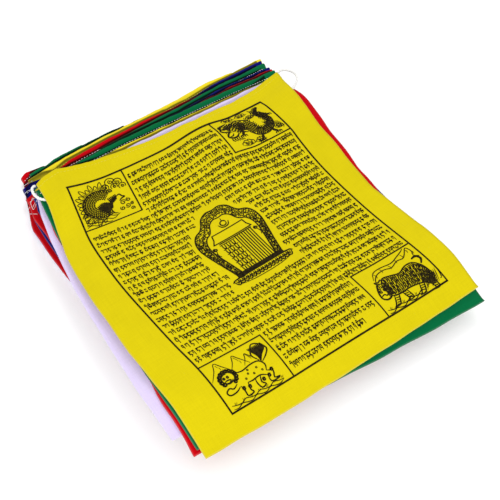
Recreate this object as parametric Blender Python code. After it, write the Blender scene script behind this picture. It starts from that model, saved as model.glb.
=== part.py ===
"""A string of prayer flags, folded to and fro into one flat pile.

Twenty cotton flags hang on one string in the order yellow, green, red, white, blue.
The string is folded at each flag, so the flags lie on one another with their headings
together at the back. +X runs along the headings, +Y points from the flags' feet to
their headings, +Z is up, and the pile lies on z = 0.
"""
import math
from collections import namedtuple

import bpy
from mathutils import Matrix, Vector
from mathutils.geometry import delaunay_2d_cdt, interpolate_bezier

MM = 0.001

# Sheet sizes, in millimetres
CLOTH = 1.04             # thickness of a flag in the body of the pile
HEM = 1.52               # thickness of a flag at its heading, where the cloth is turned over
AIR = 0.32               # gap between neighbouring flags

# The rise from the body of the pile up to the headings
RISE_START_LEFT = 52.0   # y where the rise starts on the left side
RISE_START_RIGHT = 22.0  # y where it starts on the right side
RISE_END = 98.0          # y where the headings' full height is reached

# How a flag bends down past the foot of a flag below it
STIFF = 10.0             # it stays level this far past that foot
DROOP = 42.0             # and reaches the level below this much further on

FOOT_BOW = -1.8          # how far the middle of a foot lies in front of its corners

# Grid lines that all flags share, so their facets lie parallel and keep their gap
COLUMNS = (-90, -60, -24, 12, 46, 74)
ROWS = (-124, -116, -108, -100, -92, -84, -76, -68, -60, -52, -42, 0, 28, 46, 64, 82, 98)
TOP_COLUMNS = (-90, -80, -70, -58, -42, -24, -6, 12, 30, 46, 60, 74, 84, 95)
TOP_ROWS = (-108, -100, -92, -84, -76, -68, -60, -52, -42, -28, -14, 0, 14, 28, 37, 46, 55,
            64, 73, 82, 90, 98)
EDGE_CLEARANCE = 3.0     # a grid point nearer than this to the outline is left out
CORNER_CLEARANCE = 1.5   # and so is a point of a side nearer than this to its corner

# head_* and foot_*: corners, and the heading's height at mid width; bow_*: how far a side
# bows outward, most at the share bow_at of the way down from the heading
Flag = namedtuple("Flag", "colour head_left_x head_left_y head_mid_y head_right_x head_right_y "
                          "foot_left_x foot_left_y foot_right_x foot_right_y "
                          "bow_left bow_right bow_at")
FLAGS = (
    Flag("yellow", -96.7, 104.3, 112.0, 107, 119.8, -103.4, -112, 93.7, -110.3, 0, 0, 0.5),
    Flag("green", -98.5, 103, 102.5, 99, 112, -105, -106, 93, -118, 4, -7, 0.5),
    Flag("red", -97, 104.5, 105, 106, 113, -107.7, -107.5, 74, -108, 3, 9, 0.25),
    Flag("white", -99.5, 107, 112, 101, 119, -113, -95.5, 86, -99, 6, 0, 0.5),
    Flag("blue", -99, 109, 113.5, 103, 120, -106, -98, 90, -97, 2, 2, 0.5),
    Flag("yellow", -97, 112, 118.5, 105, 124.5, -104, -95, 86, -96, 2, 1, 0.4),
    Flag("green", -96, 113, 128.5, 116, 134.5, -102, -94, 88, -94, 2, 0, 0.3),
    Flag("red", -96, 116, 133.5, 117, 140, -103, -91, 87, -91, 2, 0, 0.3),
    Flag("white", -97, 118, 136.5, 114, 142, -102, -89, 86, -88, 2, 0, 0.3),
    Flag("blue", -97, 120, 140, 120, 147.5, -103, -87, 85, -86, 3, 0, 0.3),
    Flag("yellow", -96, 122, 142, 118, 150, -101, -84, 86, -83, 3, 0, 0.3),
    Flag("green", -96, 124, 144, 123, 156, -101, -81, 87, -80, 4, 0, 0.3),
    Flag("red", -97, 128, 147.5, 122, 159, -102, -78, 84, -77, 6, 0, 0.25),
    Flag("white", -96, 130, 150, 124, 162.5, -100, -75, 85, -74, 5, 0, 0.25),
    Flag("blue", -96, 134, 154, 128, 169.5, -100, -70, 83, -71, 8, 0, 0.25),
    Flag("yellow", -92, 138.5, 159.5, 131, 174.5, -97, -66, 81, -67, 8, 0, 0.25),
    Flag("green", -91, 146, 163, 127, 171.5, -98, -64, 82, -66, 9, 0, 0.25),
    Flag("red", -95, 146, 162.5, 121, 168, -99, -62, 80, -64, 12, 0, 0.2),
    Flag("white", -99, 144, 159, 116, 164, -98, -60, 81, -62, 9, 0, 0.25),
    Flag("blue", -95, 141, 156, 112, 160, -96, -60, 79, -62, 8, 0, 0.25),
)

COLOURS = {
    "yellow": (0.90, 0.76, 0.01),
    "green": (0.0, 0.22, 0.07),
    "red": (0.56, 0.0, 0.02),
    "white": (0.80, 0.79, 0.88),
    "blue": (0.01, 0.01, 0.22),
    "string": (0.86, 0.84, 0.76),
}

# The top flag's heading waves by these amounts, at these shares of its width
Wave = namedtuple("Wave", "share shift")
TOP_HEADING = (
    Wave(0.00, 0.0), Wave(0.08, 4.0), Wave(0.18, -2.5), Wave(0.26, -5.2), Wave(0.42, -8.9),
    Wave(0.60, -9.4), Wave(0.78, -9.2), Wave(0.88, -7.2), Wave(0.94, -4.6), Wave(1.00, 0.0),
)

# Its sides leave the straight line by these amounts, at these shares of its length
Side = namedtuple("Side", "share left right")
TOP_SIDES = (
    Side(0.00, 0.0, 0.0),
    Side(0.09, 0.4, -2.4),
    Side(0.19, -3.0, -1.8),
    Side(0.28, -6.5, -3.4),
    Side(0.38, -7.6, -4.2),
    Side(0.49, -7.8, -8.2),
    Side(0.58, -6.8, -9.2),
    Side(0.67, -6.5, -6.2),
    Side(0.78, -3.6, -3.2),
    Side(0.90, -1.2, -1.4),
    Side(1.00, 0.0, 0.0),
)

# Soft lifts of the top flag over the flag below, where the string is tucked in and along waves
Lift = namedtuple("Lift", "x y reach_x reach_y height")
LIFTS = (
    Lift(-92, 88, 32, 24, 3.2),
    Lift(102, 92, 24, 26, 3.0),
    Lift(-38, 84, 30, 22, 2.0),
    Lift(24, 72, 46, 26, 1.6),
    Lift(96, 10, 30, 44, 2.6),
    Lift(-104, -20, 22, 50, 1.8),
    Lift(0, -96, 60, 18, 1.0),
)

# The string's routes, as points passed through in turn, x and y. It lies on the second flag.
STRING_DIAMETER = 2.0
STRING_REST = 1.4        # height of its middle over that flag's upper face
STRING_STEPS = 1         # points of the cord on each stretch of its route
LOOP_LEFT = (
    (-97.3, 102.4), (-99.6, 101.6), (-100.9, 98.0), (-100.8, 94.0), (-99.2, 90.6),
    (-96.4, 88.2), (-92.0, 87.0), (-87.4, 87.4), (-83.0, 88.6),
)
END_RIGHT = (
    (107.4, 117.4), (112.0, 119.0), (116.5, 116.6), (118.6, 110.8),
    (116.6, 104.2), (110.8, 98.6), (104.2, 94.6), (98.6, 92.2),
)


def smooth(t):
    """Rise from 0 to 1 without a corner."""
    t = min(max(t, 0.0), 1.0)
    return t * t * (3.0 - 2.0 * t)


def share_of_way(x, start, end):
    """How far x lies from start to end, from 0 to 1."""
    return min(max((x - start) / (end - start), 0.0), 1.0)


def between(table, share, column):
    """A column of a table, read at a share and running straight from row to row."""
    for above, below in zip(table, table[1:]):
        if share <= below.share:
            part = (share - above.share) / (below.share - above.share)
            return getattr(above, column) * (1 - part) + getattr(below, column) * part
    return getattr(table[-1], column)


def heading(flag, share):
    """Point on a flag's heading, at a share of the way from its left end to its right end."""
    left = Vector((flag.head_left_x, flag.head_left_y))
    right = Vector((flag.head_right_x, flag.head_right_y))
    point = left.lerp(right, share)
    if flag is FLAGS[0]:
        point.y += between(TOP_HEADING, share, "shift")
    else:
        point.y += (flag.head_mid_y - (left.y + right.y) / 2) * 4 * share * (1 - share)
    return point


def foot(flag, share):
    """Point on a flag's foot, at a share of the way from its left corner to its right one."""
    left = Vector((flag.foot_left_x, flag.foot_left_y))
    right = Vector((flag.foot_right_x, flag.foot_right_y))
    point = left.lerp(right, share)
    point.y += FOOT_BOW * 4 * share * (1 - share)
    return point


def side_x(flag, y, side):
    """x of a flag's left or right side at a given y."""
    share_across = 0.0 if side == "left" else 1.0
    top = heading(flag, share_across)
    bottom = foot(flag, share_across)
    share = share_of_way(y, top.y, bottom.y)
    x = top.x + (bottom.x - top.x) * share
    if flag is FLAGS[0]:
        return x + between(TOP_SIDES, share, side)
    # The power moves the middle of a plain bow to where this side bows most
    along = share ** (math.log(0.5) / math.log(flag.bow_at))
    bow = 4 * along * (1 - along)
    return x - flag.bow_left * bow if side == "left" else x + flag.bow_right * bow


def rise(x, y):
    """0 in the body of the pile, 1 at the headings."""
    left = FLAGS[0].head_left_x
    across = (x - left) / (FLAGS[0].head_right_x - left)
    start = RISE_START_LEFT + (RISE_START_RIGHT - RISE_START_LEFT) * across
    return smooth((y - start) / (RISE_END - start))


def straight_between_rows(value, x, y):
    """A value that runs straight from each shared row to the next, as the facets do."""
    for low, high in zip(ROWS, ROWS[1:]):
        if low <= y <= high:
            part = (y - low) / (high - low)
            return value(x, low) * (1 - part) + value(x, high) * part
    return value(x, y)


def thickness(x, y):
    return CLOTH + (HEM - CLOTH) * straight_between_rows(rise, x, y)


def presence(flag, x, y):
    """1 over a flag and just past its foot, 0 well past it."""
    share = share_of_way(x, flag.foot_left_x, flag.foot_right_x)
    past = foot(flag, share).y - y
    return 1.0 - smooth((past - STIFF) / DROOP)


def underside(number, x, y):
    """Height of a flag's lower face: the flags below it add up."""
    def pile(x, y):
        return sum((thickness(x, y) + AIR) * presence(flag, x, y) for flag in FLAGS[number + 1:])

    total = straight_between_rows(pile, x, y)
    if number == 0:
        total += sum(lift(one, x, y) for one in LIFTS)
    return total


def lift(one, x, y):
    """A soft round-topped swell, level again at its reach."""
    along = 1.0 - smooth(abs(x - one.x) / one.reach_x)
    across = 1.0 - smooth(abs(y - one.y) / one.reach_y)
    return one.height * along * across


def outline(flag, columns, rows):
    """The flag's outline as points, anticlockwise from the left end of the heading."""
    left_top = heading(flag, 0)
    right_top = heading(flag, 1)
    left_foot = foot(flag, 0)
    right_foot = foot(flag, 1)
    points = [left_top]
    for y in reversed(rows):
        if left_foot.y + CORNER_CLEARANCE < y < left_top.y - CORNER_CLEARANCE:
            points.append(Vector((side_x(flag, y, "left"), y)))
    points.append(left_foot)
    for x in columns:
        if left_foot.x + EDGE_CLEARANCE < x < right_foot.x - EDGE_CLEARANCE:
            share = (x - left_foot.x) / (right_foot.x - left_foot.x)
            points.append(foot(flag, share))
    points.append(right_foot)
    for y in rows:
        if right_foot.y + CORNER_CLEARANCE < y < right_top.y - CORNER_CLEARANCE:
            points.append(Vector((side_x(flag, y, "right"), y)))
    points.append(right_top)
    for x in reversed(columns):
        if left_top.x + EDGE_CLEARANCE < x < right_top.x - EDGE_CLEARANCE:
            share = (x - left_top.x) / (right_top.x - left_top.x)
            points.append(heading(flag, share))
    return points


def inside(flag, x, y):
    """Whether a grid point lies on the flag, clear of its outline."""
    if not side_x(flag, y, "left") + EDGE_CLEARANCE < x < side_x(flag, y, "right") - EDGE_CLEARANCE:
        return False
    high = heading(flag, share_of_way(x, flag.head_left_x, flag.head_right_x)).y
    low = foot(flag, share_of_way(x, flag.foot_left_x, flag.foot_right_x)).y
    return low + EDGE_CLEARANCE < y < high - EDGE_CLEARANCE


def sheet_mesh(number, flag):
    """One flag as a closed thin body: two parallel faces and the edge between them."""
    columns = TOP_COLUMNS if number == 0 else COLUMNS
    rows = TOP_ROWS if number == 0 else ROWS
    border = outline(flag, columns, rows)
    grid = [Vector((x, y)) for y in rows for x in columns if inside(flag, x, y)]
    ring = list(range(len(border)))
    plan, _, faces, _, _, _ = delaunay_2d_cdt(border + grid, [], [ring], 1, 0.0001)
    count = len(plan)
    lower = []
    upper = []
    for point in plan:
        z = underside(number, point.x, point.y)
        lower.append((point.x * MM, point.y * MM, z * MM))
        upper.append((point.x * MM, point.y * MM, (z + thickness(point.x, point.y)) * MM))
    top_faces = [tuple(index + count for index in face) for face in faces]
    bottom_faces = [tuple(reversed(face)) for face in faces]
    edge_faces = [(a, b, b + count, a + count) for a, b in zip(ring, ring[1:] + ring[:1])]
    mesh = bpy.data.meshes.new(f"flag_{number + 1:02d}")
    mesh.from_pydata(lower + upper, [], bottom_faces + top_faces + edge_faces)
    mesh.validate()
    mesh.update()
    return mesh


def material(name, roughness):
    mat = bpy.data.materials.get(name)
    if mat is None:
        mat = bpy.data.materials.new(name)
        mat.use_nodes = True
        shader = mat.node_tree.nodes["Principled BSDF"]
        shader.inputs["Base Color"].default_value = (*COLOURS[name], 1.0)
        shader.inputs["Roughness"].default_value = roughness
        shader.inputs["Metallic"].default_value = 0.0
    return mat


def make_flags():
    """All flags, top one first, and the pile's centre in plan."""
    made = []
    for number, flag in enumerate(FLAGS):
        mesh = sheet_mesh(number, flag)
        obj = bpy.data.objects.new(f"flag_{number + 1:02d}_{flag.colour}", mesh)
        obj.data.materials.append(material(flag.colour, 0.9))
        bpy.context.scene.collection.objects.link(obj)
        made.append(obj)
    xs = [v.co.x for obj in made for v in obj.data.vertices]
    ys = [v.co.y for obj in made for v in obj.data.vertices]
    centre = Vector(((min(xs) + max(xs)) / 2, (min(ys) + max(ys)) / 2, 0))
    for obj in made:
        obj.data.transform(Matrix.Translation(-centre))
    return centre


def string_place(x, y):
    """Where the string's middle lies over the second flag."""
    return Vector((x, y, underside(1, x, y) + thickness(x, y) + STRING_REST))


def route_points(knots, steps):
    """Points along a smooth curve through the knots, a few on each stretch."""
    knots = [string_place(x, y) * MM for x, y in knots]
    slopes = []
    for i in range(len(knots)):
        before = knots[max(i - 1, 0)]
        after = knots[min(i + 1, len(knots) - 1)]
        slopes.append((after - before) / 6)
    points = []
    for i in range(len(knots) - 1):
        a = knots[i]
        b = knots[i + 1]
        points += interpolate_bezier(a, a + slopes[i], b - slopes[i + 1], b, steps + 1)[:-1]
    points.append(knots[-1])
    return points


def make_string(name, knots, centre):
    """A round cord along its route."""
    curve = bpy.data.curves.new(name, "CURVE")
    curve.dimensions = "3D"
    curve.bevel_depth = STRING_DIAMETER / 2 * MM
    curve.bevel_resolution = 2
    curve.render_resolution_u = 0
    curve.use_fill_caps = True
    points = route_points(knots, STRING_STEPS)
    spline = curve.splines.new("POLY")
    spline.points.add(len(points) - 1)
    for target, point in zip(spline.points, points):
        target.co = (*(point - centre), 1.0)
    spline.use_smooth = True
    curve.materials.append(material("string", 0.8))
    obj = bpy.data.objects.new(name, curve)
    bpy.context.scene.collection.objects.link(obj)
    return obj


def main():
    for obj in list(bpy.data.objects):
        bpy.data.objects.remove(obj, do_unlink=True)
    centre = make_flags()
    make_string("string_loop_left", LOOP_LEFT, centre)
    make_string("string_end_right", END_RIGHT, centre)


main()
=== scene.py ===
# %% [markdown]
# # A string of prayer flags, folded into a pile
#
# Twenty square cotton flags hang on one string in the order yellow, green, red, white,
# blue. To put it away, somebody folded the string at each flag, so the flags lie on one
# another with their headings together at the back. Only the top flag's print shows. Below
# it one sees the rims of the others, and above all the fan of rolled hems at the back,
# where the string runs.
#
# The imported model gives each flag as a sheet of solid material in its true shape. This
# lesson lays a thin cloth on each of them, rolls and sews its hem, prints the top one
# and twists the string.

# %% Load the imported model
import math
import random
from collections import namedtuple

import bmesh
import bpy
from mathutils import Matrix, Quaternion, Vector, noise
from mathutils.bvhtree import BVHTree
from mathutils.geometry import interpolate_bezier


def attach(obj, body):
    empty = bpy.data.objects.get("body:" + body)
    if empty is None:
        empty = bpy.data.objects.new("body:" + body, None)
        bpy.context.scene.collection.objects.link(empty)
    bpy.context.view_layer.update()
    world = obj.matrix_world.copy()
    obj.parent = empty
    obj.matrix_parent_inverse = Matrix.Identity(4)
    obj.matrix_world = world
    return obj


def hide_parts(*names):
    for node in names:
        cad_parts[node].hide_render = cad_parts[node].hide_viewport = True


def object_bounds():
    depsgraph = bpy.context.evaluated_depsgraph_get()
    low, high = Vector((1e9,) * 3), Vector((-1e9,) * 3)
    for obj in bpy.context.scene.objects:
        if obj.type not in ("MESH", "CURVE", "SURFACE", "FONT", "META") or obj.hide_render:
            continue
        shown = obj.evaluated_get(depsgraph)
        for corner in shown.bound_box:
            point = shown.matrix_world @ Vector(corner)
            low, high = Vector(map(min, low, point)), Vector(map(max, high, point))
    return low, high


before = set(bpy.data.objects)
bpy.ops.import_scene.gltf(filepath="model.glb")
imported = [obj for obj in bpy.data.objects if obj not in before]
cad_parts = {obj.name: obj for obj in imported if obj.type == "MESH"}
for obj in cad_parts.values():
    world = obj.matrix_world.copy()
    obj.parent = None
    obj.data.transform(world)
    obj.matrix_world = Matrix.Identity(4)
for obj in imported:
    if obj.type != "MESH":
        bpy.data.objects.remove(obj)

MM = 0.001
UP = Vector((0, 0, 1))
cad_low, cad_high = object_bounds()
FLAGS = sorted(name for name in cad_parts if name.startswith("flag_"))
TOP = FLAGS[0]


def in_scene(name, data):
    """A new object with that data, in the scene."""
    made = bpy.data.objects.new(name, data)
    bpy.context.scene.collection.objects.link(made)
    return made


def mesh_from(bm, name):
    """The bmesh as a mesh, after which it is freed."""
    mesh = bpy.data.meshes.new(name)
    bm.to_mesh(mesh)
    bm.free()
    return mesh


def add_piece(name, mesh, finish, slot):
    """A piece of the part with one finish, which rides on the part's root."""
    made = in_scene(name, mesh)
    mesh.materials.clear()
    mesh.materials.append(finish)
    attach(made, "root")
    return made


print("flags:", len(FLAGS), "from", TOP, "to", FLAGS[-1])

# %% [markdown]
# ## Camera
#
# A picture that was taken with a normal lens from half a metre away has clear
# perspective: the near corner of the top flag is larger than the far one. So the camera
# stands where the photographer's stood, and its lens has the same angle of view. The
# small roll is there because the photographer's hands weren't level.

# %% Camera
CAMERA_PLACE = Vector((-0.1969, -0.2963, 0.3637))
CAMERA_AIM = Vector((-0.0169, -0.0419, 0.0250))
CAMERA_ROLL = math.radians(0.83)
LENS_MM = 53.6           # on a sensor 36 mm wide

camera = in_scene("camera", bpy.data.cameras.new("camera"))
camera.data.lens = LENS_MM
camera.data.sensor_width = 36
camera.data.clip_start = 0.01
camera.location = CAMERA_PLACE
turn = (CAMERA_AIM - CAMERA_PLACE).to_track_quat("-Z", "Y")
camera.rotation_euler = (turn @ Quaternion((0, 0, 1), CAMERA_ROLL)).to_euler()
bpy.context.scene.camera = camera
print("camera stands", round((CAMERA_AIM - CAMERA_PLACE).length, 3), "m from the pile")

# %% [markdown]
# ## Studio
#
# The pile lies on a white table under large soft lamps. The main one hangs in front, a
# little to the left: it brightens the top flag. The dark line behind each hem of the fan
# is painted shade in the cloth's colour. A second lamp at the back right lights the
# rolls' far sides, which are painted darker too. Real studios bounce light off white
# walls, and the pale world does that here.

# %% Table, lamps and sky
FLOOR_WHITE = (0.98, 0.98, 0.98, 1)


def plain_material(name, colour, roughness):
    made = bpy.data.materials.new(name)
    made.use_nodes = True
    shader = made.node_tree.nodes["Principled BSDF"]
    shader.inputs["Base Color"].default_value = colour
    shader.inputs["Roughness"].default_value = roughness
    return made


def make_floor():
    bm = bmesh.new()
    bmesh.ops.create_grid(bm, x_segments=1, y_segments=1, size=3)
    floor = in_scene("table_top", mesh_from(bm, "table_top"))
    floor.data.materials.append(plain_material("white_table", FLOOR_WHITE, 0.9))


def make_lamp(name, place, size, watts):
    light = bpy.data.lights.new(name, "AREA")
    light.shape = "DISK"
    light.size = size
    light.energy = watts
    lamp = in_scene(name, light)
    lamp.location = place
    lamp.rotation_euler = (-Vector(place)).to_track_quat("-Z", "Y").to_euler()


make_floor()
make_lamp("lamp_front_left", (-0.5, -0.75, 0.8), 0.3, 6.5)
make_lamp("lamp_back_right", (0.45, 0.7, 1.1), 0.6, 4.0)
world = bpy.data.worlds.new("white_room")
world.use_nodes = True
world.node_tree.nodes["Background"].inputs["Color"].default_value = (1, 1, 1, 1)
world.node_tree.nodes["Background"].inputs["Strength"].default_value = 0.82
bpy.context.scene.world = world
bpy.context.scene.view_settings.view_transform = "Standard"
print("studio ready")

# %% [markdown]
# ## Finishes
#
# Thin cotton is a plain weave: each thread goes over one and under the next. The dye
# takes unevenly, single threads are thicker than others, and where the cloth was cut
# the threads' ends are paler; that paler line also paints light on the lit cut edge.
# Three small tools build such a finish. `Recipe` holds one material and adds any node
# with its settings and inputs. `Value` wraps a socket, so that sums on sockets are
# written as plain Python. And the cloth carries a map named "cloth", in metres on the
# flat flag, which the pattern follows over every fold. A second map, "behind", says how
# far a place lies past the hems above it, along the camera's line of sight. The colour
# there is painted shade: close behind a hem the cloth of the next flag is painted nearly
# black, and the roll's far side is painted darker.


# %% Tools for materials
class Recipe:
    """The node tree of one material."""

    def __init__(self, name, roughness):
        self.material = bpy.data.materials.new(name)
        self.material.use_nodes = True
        self.tree = self.material.node_tree
        self.shader = self.tree.nodes["Principled BSDF"]
        self.shader.inputs["Roughness"].default_value = roughness
        self.shader.inputs["Specular IOR Level"].default_value = 0.08

    def node(self, kind, settings, inputs, output=0):
        """A node of that kind, its settings made first; its output as a Value."""
        made = self.tree.nodes.new("ShaderNode" + kind)
        for key, value in settings.items():
            setattr(made, key, value)
        for key, value in inputs.items():
            self.feed(made.inputs[key], value)
        return Value(self, made.outputs[output])

    def feed(self, socket, value):
        if isinstance(value, Value):
            self.tree.links.new(value.socket, socket)
        else:
            socket.default_value = value

    def noise(self, place, scale, stretch=(1, 1, 1), detail=2):
        """Noise from 0 to 1 with that many features a metre, stretched along an axis."""
        turned = self.node("Mapping", {}, {"Vector": place, "Scale": stretch})
        return self.node("TexNoise", {}, {"Vector": turned, "Scale": scale, "Detail": detail})

    def mix(self, share, first, second):
        """A colour between two colours."""
        return self.node("Mix", {"data_type": "RGBA"}, {0: share, 6: first, 7: second}, 2)

    def bump(self, height, strength, distance):
        bumped = self.node("Bump", {}, {"Height": height, "Strength": strength, "Distance": distance})
        self.feed(self.shader.inputs["Normal"], bumped)


class Value:
    """A number at a socket, for use in sums."""

    def __init__(self, recipe, socket):
        self.recipe = recipe
        self.socket = socket

    def math(self, operation, *others, clamp=False):
        inputs = dict(enumerate((self, *others)))
        return self.recipe.node("Math", {"operation": operation, "use_clamp": clamp}, inputs)

    def __add__(self, other):
        return self.math("ADD", other)

    def __mul__(self, other):
        return self.math("MULTIPLY", other)

    def __rsub__(self, other):
        return (self * -1) + other

    __radd__ = __add__
    __rmul__ = __mul__

    def sine(self):
        return self.math("SINE")

    def smaller(self, other):
        return self.math("MINIMUM", other)

    def held(self):
        """The same value, kept from 0 to 1."""
        return self.math("ADD", 0.0, clamp=True)


print("tools for materials ready")

# %% Cotton, ink, thread and string
THREAD_PITCH = 0.45 * MM     # from one thread of the weave to the next but one
FLAG_WIDE = 0.2              # in metres, of the flat flag that the map "cloth" covers
PALE_AND_LIT_RIM = 0.9 * MM          # width of the paler line along a cut edge: fray, and painted light on the lit edge
# The covered flags' yellow is the top flag's dye painted lighter: painted light on their rolls in the fan
COTTON = {
    "yellow": (0.80, 0.65, 0.02),
    "green": (0.0, 0.125, 0.039),
    "red": (0.50, 0.0, 0.004),
    "white": (0.645, 0.56, 0.80),
    "blue": (0.002, 0.002, 0.14),
}
TOP_YELLOW = (0.60, 0.495, 0.002)            # the printed flag's, deeper than the covered ones', whose lighter yellow is the same dye with painted light on their rolls
FRAY_AND_LIT_EDGE = {"yellow": 0.35, "white": 0.35}     # white in the fray of a colour, which also paints light on the lit cut edge
FRAY_AND_LIT_EDGE_ELSE = 0.16
# Painted shade: the dye is darkened close behind each hem and on each roll's far side, where shade falls
PAINTED_SHADE_FADE = 1.2 * MM       # over which the painted shade line behind a hem fades
PAINTED_SHADE_FULL = 2.2            # how dark it begins, over 1, which keeps it black for a while
PAINTED_SHADE_FRONT = 9.0 * MM      # how far it reaches in under the hem
ROLL_BACK = 3.3 * MM         # from the stitches back to where the roll turns away and its painted shade begins
ROLL_SHADE_FADE = 1.4 * MM         # over which that painted shade grows dark
# how dark the painted shade on a roll's far side is
PAINTED_ROLL_SHADE = 0.5
PAINTED_SHADE_DARK = {"white": 0.15, "yellow": 0.85}    # how dark a colour's painted shade behind a hem is
PAINTED_SHADE_DARK_ELSE = 0.97


def tone(colour, factor, white=0.0):
    """A colour made darker or lighter, and mixed with white."""
    return tuple(min(1, c * factor) * (1 - white) + white for c in colour) + (1,)


def cotton(name, colour, painted_shade=0.0):
    """Dyed cotton; the last argument sets how dark the painted shade is close behind the hem above it and on
    the roll's far side.
    """
    recipe = Recipe("cotton_" + name, 0.92)
    place = recipe.node("UVMap", {"uv_map": "cloth"}, {})
    x = recipe.node("SeparateXYZ", {}, {0: place}, 0)
    y = recipe.node("SeparateXYZ", {}, {0: place}, 1)
    over = (x * (math.pi / THREAD_PITCH)).sine() * (y * (math.pi / THREAD_PITCH)).sine()
    warp = recipe.noise(place, 60, (30, 1, 1))
    weft = recipe.noise(place, 60, (1, 30, 1))
    blotch = recipe.noise(place, 45, (1, 1, 1), 4)
    shade = (warp * 0.3 + weft * 0.3 + blotch * 0.4 + over * 0.06).held()
    dyed = recipe.mix(shade, tone(colour, 0.80), tone(colour, 1.2))
    # paler along the sides and foot: fraying threads, and painted light on the lit cut edge
    rim = x.smaller(FLAG_WIDE - x).smaller(y)
    fray_and_lit_edge = (1 - rim * (1 / PALE_AND_LIT_RIM)).held() * 0.45
    dyed = recipe.mix(fray_and_lit_edge, dyed, tone(colour, 1.15, FRAY_AND_LIT_EDGE.get(name, FRAY_AND_LIT_EDGE_ELSE)))
    if painted_shade:
        behind = recipe.node("UVMap", {"uv_map": "behind"}, {})
        far = recipe.node("SeparateXYZ", {}, {0: behind}, 0)
        # painted shade: nearly black close behind the hem above, read from the map "behind"
        line = (PAINTED_SHADE_FULL - far * (1 / PAINTED_SHADE_FADE)).held() * (far * (1 / PAINTED_SHADE_FRONT) + 1).held()
        # painted shade on the roll's far side, past the stitches
        turned = ((y + -(length + ROLL_BACK)) * (1 / ROLL_SHADE_FADE)).held() * PAINTED_ROLL_SHADE * painted_shade
        dyed = recipe.mix(line * painted_shade, dyed, tone(colour, 0.06))
        dyed = recipe.mix(turned, dyed, tone(colour, 0.3))
    recipe.feed(recipe.shader.inputs["Base Color"], dyed)
    recipe.shader.inputs["Sheen Weight"].default_value = 0.06
    recipe.shader.inputs["Sheen Tint"].default_value = tone(colour, 1.3, 0.1)
    recipe.bump(over * 0.5 + warp + weft, 0.5, 0.12 * MM)
    return recipe.material


def spotted(name, dark, light, size, roughness, depth):
    """A plain finish whose colour wanders between two colours in spots of that size."""
    recipe = Recipe(name, roughness)
    place = recipe.node("TexCoord", {}, {}, 3)
    spots = recipe.noise(place, 1 / size)
    contrast = (spots * 4 + -1.5).held()
    recipe.feed(recipe.shader.inputs["Base Color"], recipe.mix(contrast, dark, light))
    recipe.bump(spots, 0.4, depth)
    return recipe.material


ink_finish = spotted(
    "block_ink", (0.006, 0.004, 0.001, 1), (0.024, 0.017, 0.002, 1), 1.6 * MM, 0.8, 0.02 * MM)
thread_finish = spotted(
    "white_thread", (0.62, 0.62, 0.66, 1), (0.85, 0.85, 0.86, 1), 0.5 * MM, 0.8, 0.05 * MM)
yellow_thread = spotted(
    "yellow_thread", (0.62, 0.52, 0.03, 1), (0.78, 0.68, 0.08, 1), 0.5 * MM, 0.8, 0.05 * MM)
string_finish = spotted(
    "cotton_string", (0.74, 0.73, 0.70, 1), (0.90, 0.89, 0.86, 1), 0.7 * MM, 0.85, 0.1 * MM)
print("finishes:", ", ".join(m.name for m in bpy.data.materials))

# %% [markdown]
# ## Where each flag lies
#
# A cloth's fine shape comes from two things that the solid already knows. Its outline in
# plan gives four edges: foot, heading and two sides. Its upper face gives the height at
# any place. A point of the cloth is then named by two shares: how far it lies from the
# left side to the right one, and how far from the foot to the heading. The four edges
# are blended with the rule of a Coons patch, which keeps every edge exactly where it is.


# %% The edges and heights of a solid
def rim_points(mesh):
    """Corner points of a solid's narrow side faces, seen from above, in turn round it."""
    found = {}
    for face in mesh.polygons:
        if abs(face.normal.z) < 0.3:
            for index in face.vertices:
                point = mesh.vertices[index].co
                found[round(point.x, 5), round(point.y, 5)] = Vector((point.x, point.y))
    points = list(found.values())
    middle = sum(points, Vector((0, 0))) / len(points)
    points.sort(key=lambda p: math.atan2(p.y - middle.y, p.x - middle.x))
    return points


def edge_between(points, start, end):
    """The run of points from one corner to the next, the way round that is sorted."""
    first = points.index(start)
    last = points.index(end)
    if last < first:
        last += len(points)
    return [points[i % len(points)] for i in range(first, last + 1)]


def four_edges(mesh):
    points = rim_points(mesh)
    front_left = min(points, key=lambda p: p.x + p.y)
    front_right = max(points, key=lambda p: p.x - p.y)
    back_right = max(points, key=lambda p: p.x + p.y)
    back_left = min(points, key=lambda p: p.x - p.y)
    return {
        "foot": edge_between(points, front_left, front_right),
        "right": edge_between(points, front_right, back_right),
        "heading": edge_between(points, back_right, back_left)[::-1],
        "left": edge_between(points, back_left, front_left)[::-1],
    }


def along(points, share):
    """Point at a share of the way along a line of points, or straight on past its ends."""
    lengths = [(b - a).length for a, b in zip(points, points[1:])]
    left = share * sum(lengths)
    for a, b, length in zip(points, points[1:], lengths):
        if left <= length:
            return a.lerp(b, left / length)
        left -= length
    return points[-1] + (points[-1] - points[-2]).normalized() * left


def between(values, share):
    """A value at a share of the way along evenly spaced values, with soft turns."""
    place = share * (len(values) - 1)
    first = min(int(place), len(values) - 2)
    part = place - first
    part = part * part * (3 - 2 * part)
    return values[first] * (1 - part) + values[first + 1] * part


def corner_round(share):
    """How far the heading bends forward at its end, which rounds the flag's corner."""
    return CORNER_BEND * max(0.0, 1 - share / CORNER_SHARE) ** 2


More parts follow.
